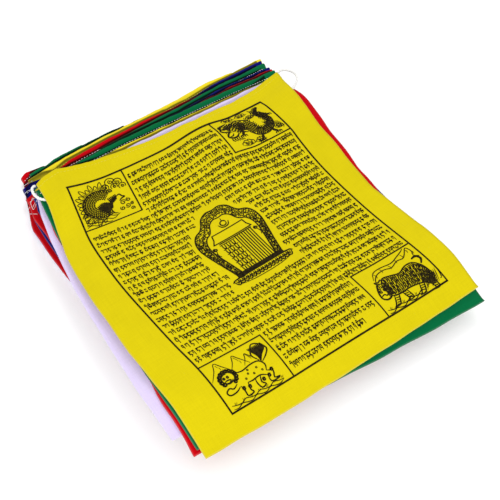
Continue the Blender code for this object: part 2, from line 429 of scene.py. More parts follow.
class Bed:
    """The upper face of a solid, as a place for a cloth to lie."""

    def __init__(self, mesh, inset, pulls, left_out):
        self.edges = four_edges(mesh)
        heading = self.edges["heading"]
        first = heading[0].x
        span = heading[-1].x - first
        shifted = []
        for point in heading:
            share = (point.x - first) / span
            pull = between(pulls, share) + corner_round(share) + corner_round(1 - share)
            shifted.append(point - Vector((left_out * (1 - share) ** LEFT_OUT_CLOSE, inset + pull)))
        self.edges["heading"] = shifted
        left = []
        for point in self.edges["left"]:
            near = max(0.0, 1 - (shifted[0].y - point.y) / LEFT_OUT_REACH)
            left.append(point - Vector((left_out * near * near, 0)))
        self.edges["left"] = left
        for side, end in (("left", shifted[0]), ("right", shifted[-1])):
            self.edges[side] = [p for p in self.edges[side] if p.y < end.y - inset] + [end]
        foot = self.edges["foot"]
        self.middle = (foot[0] + foot[-1] + shifted[0] + shifted[-1]) / 4
        corners = [v.co for v in mesh.vertices]
        self.tree = BVHTree.FromPolygons(corners, [p.vertices for p in mesh.polygons])

    def plan(self, s, t):
        """Place in plan of the point at shares s across and t from foot to heading."""
        foot = self.edges["foot"]
        heading = self.edges["heading"]
        blend = along(foot, s) * (1 - t) + along(heading, s) * t
        blend += along(self.edges["left"], t) * (1 - s) + along(self.edges["right"], t) * s
        corners = (foot[0] * (1 - s) + foot[-1] * s) * (1 - t)
        corners += (heading[0] * (1 - s) + heading[-1] * s) * t
        return blend - corners

    def height(self, place):
        """Height of the upper face there, or of its nearest rim."""
        for step in STEPS_INWARD:
            at = place + (self.middle - place).normalized() * step
            hit = self.tree.ray_cast(Vector((at.x, at.y, 1)), -UP)[0]
            if hit:
                return hit.z
        return self.tree.find_nearest(Vector((place.x, place.y, cad_high[2])))[0].z


HEM_DEPTH = 4.6 * MM     # from the folded edge of a heading to its row of stitches
CORNER_BEND = 2.2 * MM   # how far a heading's ends bend forward
CORNER_SHARE = 0.03      # of the heading's length, in which they do
STEPS_INWARD = (0, 0.4 * MM, 1 * MM, 2 * MM)     # tried where a place misses the face by a hair
# How far each heading is pulled in between its neighbours, in millimetres, at its left end,
# at each fifth and at its right end: this makes some colours thin lines and some dark gaps,
# which are dark from the painted shade behind the hems
PULLED_IN = {
    "flag_01_yellow": (0, -0.5, 0, -0.6, 0, -0.8),
    "flag_03_red": (0.5, -0.6, -0.4, 0.6, 1, 1),
    "flag_04_white": (3, 2.6, 1.9, 1, 0.2, -2.7),
    "flag_05_blue": (3, 3, 3, 3, 3, 1),
    "flag_06_yellow": (2, 2.5, 0.2, 0.3, 0, -2),
    "flag_07_green": (0, -0.9, -0.3, 1.6, 0.6, -2),
    "flag_08_red": (5, 5, 5, 4, 1.9, -1.3),
    "flag_09_white": (6, 6, 6, 6, 6, 4),
    "flag_10_blue": (8, 8, 7, 5.5, 2.2, -1.5),
    "flag_11_yellow": (6, 6, 6, 6, 6, 3),
    "flag_12_green": (2, 1.5, 0.5, 1.4, -0.9, -4),
    "flag_13_red": (8, -3.6, -1.9, -0.5, 2.5, 4),
    "flag_14_white": (5, 4.5, 3.7, 4, 3.4, 1),
    "flag_15_blue": (0, 5, 5, 3.5, 0.2, -2.2),
    "flag_16_yellow": (-4.3, -4.1, -1.1, -0.6, -2.2, -1.8),
    "flag_17_green": (-4.7, -3.4, -0.5, 1, 0.8, 0),
    "flag_18_red": (-7, 0, 2, 2, 2, 2),
}
# How far the left end of a heading sticks out past its neighbours, in millimetres
LEFT_OUT = {
    "flag_03_red": -2.5, "flag_10_blue": 2, "flag_13_red": 5, "flag_15_blue": 3.5,
    "flag_17_green": -3, "flag_18_red": -1, "flag_19_white": -2.5,
}
LEFT_OUT_REACH = 38 * MM     # how far down the side that dies out
LEFT_OUT_CLOSE = 8           # how fast it does along the heading


def bed_of(name):
    """The bed that a flag's solid makes, with its heading's own pulls."""
    pulls = [pull * MM for pull in PULLED_IN.get(name, (0, 0))]
    return Bed(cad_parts[name].data, HEM_DEPTH, pulls, LEFT_OUT.get(name, 0) * MM)


beds = {name: bed_of(name) for name in FLAGS}
width = (beds[TOP].plan(1, 0.5) - beds[TOP].plan(0, 0.5)).length
length = (beds[TOP].plan(0.5, 1) - beds[TOP].plan(0.5, 0)).length
print(f"top flag is about {width * 1000:.0f} by {length * 1000:.0f} mm in plan")

# %% [markdown]
# ## Cloth
#
# Each flag starts as a flat grid, whose lines are crowded towards the foot and heading,
# where the shape changes most. Every point is moved to its place on the bed. Cotton
# never lies dead flat: a slow swell runs through the whole pile, and each rim ripples a
# little by itself. The swell is the same for all flags, so they keep their distance.
#
# At the heading the cloth is turned over the string and sewn down. In the mesh that is
# one edge, extruded step by step round a small circle and back under the cloth. Where
# the next hem lies further forward, nothing presses on the roll and it is fuller. The
# flags are laid from the top down, because each one's hem sets where the painted shade
# lies on those below it.

# %% Cloth sizes
ACROSS = 100             # cells of the grid from side to side
LENGTHWISE = 58          # cells from foot to hem
CROWDING = 0.6           # how much closer the rows lie at foot and heading
CLOTH = 0.42 * MM        # thickness of the cotton
SETTLE = 14              # times the facets of the bed are smoothed away
SWELL = 0.35 * MM        # height of the swell that the whole pile shares
RIPPLE = 0.45 * MM       # height of the ripples of a single rim
RIM_WANDER = 0.5 * MM    # how far a rim strays from its line in plan
RIM_REACH = 0.10         # share of the flag's size in which its rim's ripple dies out
HEM_RADIUS = 0.85 * MM   # of the roll round the string, where hems lie on one another
HEM_RADIUS_FREE = 1.75 * MM  # where the next hem lies further forward
HEM_FREE_FROM = 4.0 * MM     # it does so if that hem is this far away
HEM_HALF = 1.9 * MM      # half the width of the roll, which is flatter than it is wide
HEM_BOTTOM = 1.45 * MM   # depth of the roll's lowest line below the cloth's face
HEM_TURN_UNDER = 4.0 * MM    # cloth that is turned under, in front of the roll
HEM_STEPS = 9            # steps round the roll
HEM_FROM = math.radians(140)
HEM_TO = math.radians(-80)
HEM_PUCKER = 0.25 * MM   # unevenness of the sewn roll, up and down
HEM_WANDER = 0.8 * MM    # and in plan
SEAM_DIP = 1.2 * MM      # depth of the valley in front of the stitches
SEAM_DIP_REACH = 17 * MM     # how far from the stitches the cloth is level again
SHADE_STEPS = 280        # places, a millimetre apart, at which the end of the painted shade is noted
CAMERA_SIGHT_SLOPE = 1.19       # how far back a hem's painted shade reaches for each unit of its height: the slope of the camera's line of sight over the fan
ROUGH_RIM = {"flag_03_red": 2.6, "flag_04_white": 1.3}   # rims that stray more than the others


def crowd(share):
    """A row's share, moved towards the nearer end."""
    return share - CROWDING * math.sin(math.tau * share) / math.tau


def swell(place):
    """Slow uneven height that the whole pile has, at a place in plan."""
    return SWELL * noise.noise(Vector((place.x * 22, place.y * 22, 3.1)))


def rim_nearness(s, t):
    """1 on a side or the foot, falling to 0 well inside the flag."""
    edge = min(s, 1 - s, t)
    return max(0.0, 1 - edge / RIM_REACH) ** 2


def seam_valley(t):
    """Depth of the valley at a share of the way to the stitches: deepest close before them."""
    away = (1 - t) * length / SEAM_DIP_REACH
    if away > 1:
        return 0.0
    return SEAM_DIP * math.sin(math.pi * min(1, away * 0.8 + 0.2)) ** 1.5


def shade_end(name, seam):
    """Where the painted shade behind a hem ends, as a distance back plus the slope times a height."""
    radius = hem_radius(name, seam)
    middle = Vector((seam.y + HEM_DEPTH - HEM_HALF, seam.z + radius - HEM_BOTTOM))
    return middle.x + CAMERA_SIGHT_SLOPE * middle.y + math.hypot(HEM_HALF, CAMERA_SIGHT_SLOPE * radius)


def note_shade(name):
    """Add a hem's painted shade to the line of all hems so far, at every millimetre of x."""
    line = [(start.x / MM + SHADE_STEPS / 2, shade_end(name, start)) for start in seams[name]]
    for (x, end), (next_x, next_end) in zip(line, line[1:]):
        for number in range(math.ceil(x), math.floor(next_x) + 1):
            here = end + (next_end - end) * (number - x) / (next_x - x)
            shade_line[number] = max(shade_line[number], here)


def behind_hems(place):
    """How far a place lies out of the painted shade of the hems above it."""
    number = place.x / MM + SHADE_STEPS / 2
    first = min(max(int(number), 0), SHADE_STEPS - 2)
    end = shade_line[first] + (shade_line[first + 1] - shade_line[first]) * (number - first)
    return place.y + CAMERA_SIGHT_SLOPE * place.z - end


def grid_mesh():
    """A flat unit grid with its layers, and each point's two shares."""
    bm = bmesh.new()
    flat = bm.verts.layers.float_vector.new("flat")
    uv = bm.loops.layers.uv.new("cloth")
    bm.loops.layers.uv.new("behind")
    bmesh.ops.create_grid(bm, x_segments=ACROSS, y_segments=LENGTHWISE, size=0.5)
    shares = {}
    for vert in bm.verts:
        shares[vert] = (vert.co.x + 0.5, crowd(vert.co.y + 0.5))
    return bm, flat, uv, shares


def hem_radius(name, place):
    """Radius of the roll there: larger where the flag above doesn't cover it."""
    number = FLAGS.index(name)
    if number == 0:
        return HEM_RADIUS
    above = beds[FLAGS[number - 1]].edges["heading"]
    nearest = min(above, key=lambda p: abs(p.x - place.x))
    free = (place.y - nearest.y) / HEM_FREE_FROM
    free = min(max(free, 0.0), 1.0)
    return HEM_RADIUS + (HEM_RADIUS_FREE - HEM_RADIUS) * free * free


def hem_profile(radius):
    """The hem's cross-section behind its stitches, as pairs of back and up."""
    middle = Vector((HEM_DEPTH - HEM_HALF, radius - HEM_BOTTOM))
    points = []
    for step in range(HEM_STEPS + 1):
        angle = HEM_FROM + (HEM_TO - HEM_FROM) * step / HEM_STEPS
        points.append(middle + Vector((HEM_HALF * math.cos(angle), radius * math.sin(angle))))
    points.append(Vector((middle.x - HEM_HALF - HEM_TURN_UNDER, -HEM_BOTTOM)))
    return points


def roll_hem(bm, name, shares, flat):
    """Extrude the heading's row of points round the string and back under the cloth."""
    row = sorted((v for v in bm.verts if shares[v][1] > 0.9999), key=lambda v: v.co.x)
    edges = [e for v in row for e in v.link_edges if e.other_vert(v) in row]
    edges = list(set(edges))
    starts = [v.co.copy() for v in row]
    seams[name] = starts
    across = [shares[v][0] for v in row]
    profiles = [hem_profile(hem_radius(name, start)) for start in starts]
    travelled = 0.0
    for step in range(len(profiles[0])):
        made = bmesh.ops.extrude_edge_only(bm, edges=edges)["geom"]
        row = sorted((g for g in made if isinstance(g, bmesh.types.BMVert)), key=lambda v: v.co.x)
        fresh = set(row)
        edges = [g for g in made if isinstance(g, bmesh.types.BMEdge) and fresh.issuperset(g.verts)]
        middle = profiles[len(row) // 2]
        travelled += (middle[step] - middle[step - 1]).length if step else HEM_DEPTH / 3
        for vert, start, s, profile in zip(row, starts, across, profiles):
            back, up = profile[step]
            pucker = HEM_PUCKER * noise.noise(Vector((start.x * 300, step * 0.4, 1.7)))
            stray = HEM_WANDER * noise.noise(Vector((start.x * 95, 0, FLAGS.index(name) * 1.7)))
            vert.co = start + Vector((0, back + stray * max(back, 0) / HEM_DEPTH, up + pucker))
            vert[flat] = Vector((s * width, length + travelled, 0))


def make_flag(name):
    """One flag's cloth: laid on its bed, smoothed, rippled, and with its hem rolled."""
    bed = beds[name]
    seed = FLAGS.index(name) * 7.3
    bm, flat, uv, shares = grid_mesh()
    behind = bm.loops.layers.uv["behind"]
    for vert in bm.verts:
        s, t = shares[vert]
        place = bed.plan(s, t)
        stray = noise.noise(Vector((place.x * 60, place.y * 60, seed)))
        outward = (place - bed.middle).normalized()
        place += outward * stray * RIM_WANDER * ROUGH_RIM.get(name, 1) * rim_nearness(s, t)
        vert.co = (place.x, place.y, bed.height(place))
        vert[flat] = Vector((s * width, t * length, 0))
    sheet_verts = list(bm.verts)
    for _ in range(SETTLE):
        bmesh.ops.smooth_vert(bm, verts=sheet_verts, factor=0.5, use_axis_z=True)
    for vert in sheet_verts:
        s, t = shares[vert]
        ripple = noise.noise(Vector((vert.co.x * 45, vert.co.y * 45, seed + 2)))
        vert.co.z += swell(vert.co) + ripple * RIPPLE * rim_nearness(s, t) - seam_valley(t)
    roll_hem(bm, name, shares, flat)
    bmesh.ops.recalc_face_normals(bm, faces=bm.faces)
    if sum(f.normal.z * f.calc_area() for f in bm.faces) < 0:
        bmesh.ops.reverse_faces(bm, faces=bm.faces)
    for face in bm.faces:
        face.smooth = True
        for loop in face.loops:
            loop[uv].uv = loop.vert[flat].xy
            # the map "behind" says where the painted shade lies
            loop[behind].uv = (behind_hems(loop.vert.co), 0)
    colour = name.split("_")[-1]
    finish = top_cotton if name == TOP else cottons[colour]
    cloth = add_piece(name + "_cloth", mesh_from(bm, name + "_cloth"), finish, colour)
    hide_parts(name)
    thick = cloth.modifiers.new("thickness", "SOLIDIFY")
    thick.thickness = CLOTH
    thick.offset = -1
    return cloth


top_cotton = cotton("yellow_printed", TOP_YELLOW)
cottons = {}
for name, colour in COTTON.items():
    cottons[name] = cotton(name, colour, PAINTED_SHADE_DARK.get(name, PAINTED_SHADE_DARK_ELSE))
shade_line = [-1.0] * SHADE_STEPS
seams = {}
cloths = {}
for name in FLAGS:
    cloths[name] = make_flag(name)
    note_shade(name)
faces = sum(len(cloth.data.polygons) for cloth in cloths.values())
print("cloth laid on", len(cloths), "flags,", faces, "faces")

# %% [markdown]
# ## Stitches
#
# A sewing machine closed each hem with white thread. From above a lockstitch shows as a
# row of short lozenges, each pulled a little into the cloth at its ends. One low ball,
# stretched, is such a stitch, so a flag's row is that ball repeated along the seam and
# joined into one mesh. Yellow flags were sewn with yellow thread.

# %% Rows of stitches
STITCH_PITCH = 2.3 * MM
STITCH_SIZE = Vector((0.95, 0.26, 0.2)) * MM     # half sizes along, across and up
STITCH_WOBBLE = 0.15     # how far a stitch strays, in millimetres
STITCH_FACES = 20


def points_along(line, pitch):
    """Places at an even pitch along a line, each with the line's direction there."""
    total = sum((b - a).length for a, b in zip(line, line[1:]))
    for number in range(1, int(total / pitch)):
        share = number * pitch / total
        here = along(line, share)
        ahead = along(line, min(1, share + 0.01)) - along(line, max(0, share - 0.01))
        yield here, ahead.normalized()


def make_stitches(name):
    """A flag's row of stitches, as one piece."""
    bm = bmesh.new()
    rng = random.Random(name)
    for place, ahead in points_along(seams[name], STITCH_PITCH):
        wobble = Vector((0, rng.uniform(-STITCH_WOBBLE, STITCH_WOBBLE), 0)) * MM
        turn = ahead.to_track_quat("X", "Z").to_matrix().to_4x4()
        size = Matrix.Diagonal((*(STITCH_SIZE * rng.uniform(0.85, 1.1)), 1))
        seat = Matrix.Translation(place + wobble) @ turn @ size
        bmesh.ops.create_icosphere(bm, subdivisions=1, radius=1, matrix=seat)
    for face in bm.faces:
        face.smooth = True
    thread = yellow_thread if name.endswith("yellow") else thread_finish
    return add_piece(name + "_stitches", mesh_from(bm, name + "_stitches"), thread, "string")


stitches = {name: make_stitches(name) for name in FLAGS}
print("stitches:", sum(len(row.data.polygons) for row in stitches.values()) // STITCH_FACES)

# %% [markdown]
# ## String
#
# The string is three strands of cotton, laid round one another. Where it leaves a hem to
# reach the next one it shows as a loop at the pile's corner. A curve whose profile is a
# three-leaved shape is twisted by the tilt of its points, which gives the lay of the
# strands in one stroke.

# %% Twisted string
STRING_THICK = 2.0 * MM
STRING_LAY = 5.5 * MM    # length of one full twist
STRING_STEP = 0.35 * MM
LEAF_SIDES = 18          # corners of the profile
LEAF_DEPTH = 0.14        # depth of the grooves between strands, as a share of the radius
LOOP_LEFT = (
    (-105.7, 74.2, 36.04), (-108.0, 73.3, 36.04), (-109.3, 69.8, 36.04), (-109.2, 65.8, 35.39),
    (-107.6, 62.3, 34.85), (-104.8, 59.9, 34.49), (-100.4, 58.8, 34.34), (-95.8, 59.2, 34.44),
    (-91.4, 60.3, 34.65),
)
END_RIGHT = (
    (99.0, 89.2, 36.04), (103.6, 90.8, 36.04), (108.1, 88.3, 36.04), (110.2, 82.6, 36.04),
    (108.2, 75.9, 36.04), (102.4, 70.3, 36.04), (95.8, 66.3, 35.82), (90.2, 63.9, 35.65),
)


def soft_route(points, steps=12):
    """A soft curve through the points, as a dense list."""
    points = [Vector(p) for p in points]
    slopes = []
    for number in range(len(points)):
        before = points[max(number - 1, 0)]
        after = points[min(number + 1, len(points) - 1)]
        slopes.append((after - before) / 6)
    dense = []
    for a, b, out, into in zip(points, points[1:], slopes, slopes[1:]):
        dense += interpolate_bezier(a, a + out, b - into, b, steps + 1)[:-1]
    return dense + [points[-1]]


def strand_profile():
    """Closed outline of three strands side by side."""
    profile = bpy.data.curves.new("strands", "CURVE")
    ring = profile.splines.new("POLY")
    ring.use_cyclic_u = True
    ring.points.add(LEAF_SIDES - 1)
    for number, point in enumerate(ring.points):
        angle = math.tau * number / LEAF_SIDES
        radius = STRING_THICK / 2 * (1 - LEAF_DEPTH + LEAF_DEPTH * math.cos(3 * angle))
        point.co = (radius * math.cos(angle), radius * math.sin(angle), 0, 1)
    return bpy.data.objects.new("strands", profile)


def curve_through(name, places):
    """A curve in space whose points are those places, with its points."""
    curve = bpy.data.curves.new(name, "CURVE")
    curve.dimensions = "3D"
    spline = curve.splines.new("POLY")
    spline.points.add(len(places) - 1)
    for point, place in zip(spline.points, places):
        point.co = (*place, 1)
    return curve, spline.points


def curve_piece(name, curve, finish):
    """The curve with its thickness, turned into a mesh and added as a piece."""
    holder = in_scene(name, curve)
    bpy.context.view_layer.update()
    seen = holder.evaluated_get(bpy.context.evaluated_depsgraph_get())
    shape = bpy.data.meshes.new_from_object(seen)
    bpy.data.objects.remove(holder)
    shape.shade_smooth()
    return add_piece(name, shape, finish, "string")


def twisted(name, route):
    """A string of three strands along a route, as one mesh, and its length."""
    line = soft_route([Vector(p) * MM for p in route])
    total = sum((b - a).length for a, b in zip(line, line[1:]))
    count = round(total / STRING_STEP)
    curve, points = curve_through(name, [along(line, number / count) for number in range(count + 1)])
    curve.twist_mode = "MINIMUM"
    curve.bevel_mode = "OBJECT"
    curve.bevel_object = strands
    curve.use_fill_caps = True
    for number, point in enumerate(points):
        point.tilt = math.tau * number * STRING_STEP / STRING_LAY
    return curve_piece(name, curve, string_finish), total


strands = strand_profile()


for node, route in (("string_loop_left", LOOP_LEFT), ("string_end_right", END_RIGHT)):
    string, total = twisted(node + "_twisted", route)
    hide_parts(node)
    print(node, f"is {total * 1000:.1f} mm long")

# %% [markdown]
# ## Loose threads
#
# Where the flags were cut, sewing thread was left hanging. At the pile's left corner
# a few short ends curl over the rims of the blue and the red flags.

# %% Loose threads at the left corner
LOOSE_THICK = 0.32 * MM
LOOSE_LIFT = 1.6         # millimetres that they stand off the cloth
LOOSE_STEPS = 6
LOOSE_THREADS = (
    ((-104.2, 111.8, 4.9), (-100.5, 112.7, 5.2), (-98.5, 106.2, 11.2)),
    ((-109.0, 95.9, 12.1), (-106.5, 96.3, 13.0), (-104.5, 92.9, 16.2)),
    ((-112.7, 83.2, 8.2), (-109.8, 84.6, 10.8), (-106.6, 86.2, 14.6), (-106.8, 80.6, 16.2),
     (-109.8, 79.6, 12.8)),
    ((-113.6, 79.0, 9.4), (-112.3, 75.1, 11.8), (-110.4, 69.6, 15.2)),
    ((-109.5, 83.6, 14.3), (-110.8, 75.4, 15.0), (-107.7, 78.4, 14.8), (-106.4, 77.3, 20.0)),
)


def loose_thread(name, route):
    """A thin round thread along a soft route, as a mesh."""
    line = soft_route([(Vector(p) + LOOSE_LIFT * UP) * MM for p in route], LOOSE_STEPS)
    curve, _ = curve_through(name, line)
    curve.bevel_depth = LOOSE_THICK / 2
    curve.bevel_resolution = 1
    return curve_piece(name, curve, thread_finish)


for number, route in enumerate(LOOSE_THREADS):
    loose_thread(f"loose_thread_{number + 1}", route)
print("loose threads:", len(LOOSE_THREADS))

# %% [markdown]
# ## The block print
#
# A carved wooden block pressed black ink on the top flag. Its design is made here as
# brush strokes on flat paper, in millimetres from the print's lower left corner, and
# only then laid on the cloth. A stroke is a soft line through a few points and a width at
# each of its steps, and a ribbon of faces follows it. Ribbons of real ink keep their
# crisp edge at any distance, which a painted texture wouldn't.

# %% Brush and paper
PRINT_WIDE = 158.0       # millimetres, between the border's side lines
PRINT_LONG = 195.0       # and between its lower and upper line
FINE = 0.50              # widths of strokes, in millimetres
BOLD = 0.80
FRAME_LINE = 0.95
UPPER_LINE = 1.5         # how much wider the frame's upper line is
SOFT_STEPS = 3           # steps of a soft stroke from one of its points to the next
LINE_STEP = 3.0          # millimetres from point to point of a straight line
PRESS = 0.35             # how much wider the strokes are at the upper right, pressed harder


class Paper:
    """Flat drawing of brush strokes, each a ribbon of faces in one mesh."""

    def __init__(self):
        self.bm = bmesh.new()
        self.corner = Vector((0, 0))

    def ribbon(self, line, widths):
        """A flat ribbon along a line, as wide at each point as its width says."""
        pairs = []
        for number, place in enumerate(line):
            before = line[max(number - 1, 0)]
            after = line[min(number + 1, len(line) - 1)]
            ahead = (after - before).normalized()
            pressed = 1 + PRESS * (place.x / PRINT_WIDE + place.y / PRINT_LONG) / 2
            side = Vector((-ahead.y, ahead.x, 0)) * widths[number] * pressed / 2
            pairs.append((self.bm.verts.new(place + side), self.bm.verts.new(place - side)))
        for (left, right), (next_left, next_right) in zip(pairs, pairs[1:]):
            self.bm.faces.new((left, right, next_right, next_left))

    def stroke(self, points, wide=FINE, ends=0.5):
        """A smooth stroke through the points, thinner at its ends by that factor."""
        line = soft_route([(x + self.corner.x, y + self.corner.y, 0) for x, y in points], SOFT_STEPS)
        last = len(line) - 1
        nearness = [min(number, last - number, SOFT_STEPS) / SOFT_STEPS for number in range(last + 1)]
        self.ribbon(line, [wide * (ends + (1 - ends) * near) for near in nearness])

    def line(self, points, wide=FINE):
        """Straight lines from point to point, each a little longer, which fills the corners."""
        for a, b in zip(points, points[1:]):
            start = Vector((a[0] + self.corner.x, a[1] + self.corner.y, 0))
            end = Vector((b[0] + self.corner.x, b[1] + self.corner.y, 0))
            extra = (end - start).normalized() * wide / 2
            cuts = max(1, round((end - start).length / LINE_STEP))
            dense = [(start - extra).lerp(end + extra, cut / cuts) for cut in range(cuts + 1)]
            self.ribbon(dense, [wide] * len(dense))


def arc(x, y, radius, start, end, steps=6, flat=1.0):
    """Points of an arc round x, y, its angles in degrees; flat squeezes it upright."""
    points = []
    for step in range(steps + 1):
        angle = math.radians(start + (end - start) * step / steps)
        points.append((x + radius * math.cos(angle), y + flat * radius * math.sin(angle)))
    return points


def between_points(points, share):
    """Point at a share of the way along a drawn line, by count of its points."""
    place = share * (len(points) - 1)
    first = min(int(place), len(points) - 2)
    return Vector(points[first]).lerp(Vector(points[first + 1]), place - first)


def ring(x, y, radius, steps=5):
    """Points of a closed circle round x, y."""
    return arc(x, y, radius, 0, 360, steps)


def spiral(x, y, radius, start, turns=1.4, steps=9):
    """Points of a curl that winds inwards."""
    points = []
    for step in range(steps + 1):
        share = step / steps
        angle = math.radians(start + 360 * turns * share)
        points.append((x + radius * (1 - 0.85 * share) * math.cos(angle),
                       y + radius * (1 - 0.85 * share) * math.sin(angle)))
    return points


def draw_cloud(paper, x, y, wide):
    """A curling cloud with a tail, as block cutters draw it."""
    lobe = wide / 5
    for number, (dx, dy) in enumerate(((-1.6, 0), (-0.7, 0.8), (0.5, 0.9), (1.5, 0.2))):
        paper.stroke(arc(x + dx * lobe, y + dy * lobe, lobe, 200 - number * 30, -20 - number * 20))
    paper.stroke(spiral(x - 0.6 * lobe, y + 0.1 * lobe, lobe * 0.8, 90))
    paper.stroke(spiral(x + 0.9 * lobe, y, lobe * 0.7, 200))
    paper.stroke([(x - 2.4 * lobe, y - lobe * 0.5), (x, y - lobe), (x + 3.4 * lobe, y - lobe * 0.4)])


def draw_ground(paper, wide, height):
    """Low wavy lines of earth across a box, with tufts."""
    for level in range(2):
        paper.stroke([(x, height - level * 1.3 + 0.7 * math.sin(x * 0.7 + level * 2))
                      for x in range(2, wide - 1, 3)])
    for x in range(4, wide - 2, 5):
        paper.stroke([(x, height), (x + 0.5, height + 1.6)], FINE, 0.3)
        paper.stroke([(x + 0.5, height), (x + 1.5, height + 1.2)], FINE, 0.3)


def draw_peaks(paper, places, foot):
    """Mountains as steep outlines with a few strokes of shade on one side."""
    for x, top, half in places:
        paper.stroke([(x - half, foot), (x - half * 0.35, top * 0.55 + foot * 0.45), (x, top),
                      (x + half * 0.4, top * 0.6 + foot * 0.4), (x + half, foot)])
        for step in range(3):
            low = top - (top - foot) * (0.35 + 0.2 * step)
            paper.stroke([(x + half * 0.15 * step, low + 2), (x + half * 0.1 * step + 0.7, low)], FINE, 0.3)


print("brush ready")

# %% [markdown]
# ## Four animals for the corners
#
# Prayer flags carry four guardian animals in their corners. These are drawn for this
# lesson from plain strokes: what repeats on an animal, such as feathers, scales,
# stripes and curls of a mane, comes from a loop, and the rest is a few listed lines.


# %% Bird
def draw_bird(paper):
    """A peacock seen from the side: rings of scales, long feathers fanned out behind."""
    middle = Vector((15.5, 16))
    for step in range(17):
        angle = math.radians(62 + step * 12.5)
        out = Vector((math.cos(angle), math.sin(angle) * 0.95))
        side = Vector((-out.y, out.x)) * 1.25
        root = middle + out * 9.5
        tip = middle + out * (18 if step % 2 else 15.5)
        tip = Vector((max(tip.x, 1.6), min(tip.y, 34)))
        half = root.lerp(tip, 0.6)
        paper.stroke([root, half + side, tip, half - side, root])
        paper.stroke([root, half], FINE, 0.4)
    for ring in range(6):
        radius = 3.6 + ring * 1.35
        count = int(radius * 3.6)
        for step in range(count):
            angle = 50 + step * 250 / count
            x = middle.x + radius * 1.05 * math.cos(math.radians(angle))
            y = middle.y + radius * 0.92 * math.sin(math.radians(angle))
            paper.stroke(arc(x, y, 0.85, angle - 95, angle + 95, 4), FINE * 1.15, 0.8)
    for step in range(9):
        x = 12.6 + step * 1.0
        high = 2.8 + 2.6 * math.sin(math.pi * step / 8)
        paper.stroke([(x, 13.5 + high * 0.6), (x + 1.1, 13), (x + 0.4, 13 - high)], BOLD * 1.25, 0.6)
    for step in range(6):
        paper.stroke([(20 + step * 1.1, 12 + step * 0.7), (21.4 + step * 0.9, 15.2 + step * 0.5),
                      (20.4 + step * 1.1, 18.6 + step * 0.2)], BOLD * 1.1, 0.6)
    paper.stroke([(25.5, 17.5), (28.5, 18.6), (29.6, 16.6), (31.2, 15.6), (28.8, 15), (27, 13.6)], BOLD)
    paper.stroke([(17, 10), (17.6, 6.6), (15.6, 5.4)], BOLD)
    paper.stroke([(20, 10), (20.8, 6.4), (23, 5.2)], BOLD)
    for curl in ((28.6, 11.6, 2.1, 0), (32.4, 12.4, 1.6, 90), (30.4, 8, 1.9, 200), (33.6, 8.4, 1.3, 30),
                 (26.8, 7.4, 1.7, 120), (32.6, 4.6, 1.5, 300), (4, 11, 1.6, 60), (3.6, 6.6, 1.4, 0)):
        paper.stroke(spiral(*curl), FINE * 1.1)
    for x, y, lobe in ((22, 26.5, 2.6), (26.5, 29.5, 3.2), (31, 27.5, 2.9), (33, 23.6, 2.3),
                       (28, 25.2, 2.2), (23.5, 23, 1.7)):
        paper.stroke(arc(x, y, lobe, 215, -35, 8), FINE * 1.1)
        paper.stroke(spiral(x + 0.4, y, lobe * 0.55, 90))
    for level in range(3):
        paper.stroke([(x, 5.6 - level * 1.6 - x * 0.04 + 0.8 * math.sin(x * 0.8 + level * 2))
                      for x in range(2, 26 - level * 3, 2)])


# %% Dragon
DRAGON_SPINE = ((9.5, 18), (14, 22), (19.5, 22), (22.5, 17), (24, 11), (29, 8), (35, 9.5), (38.5, 14.5),
                (37, 20), (33.5, 23.5), (35.5, 28), (39, 31))
DRAGON_HALF = 4.3        # half the width of its body behind the head
DRAGON_FEET = ((16, 15.5, -2.5), (26, 5.5, -3), (34, 6.5, 3), (36.5, 23.5, 4))


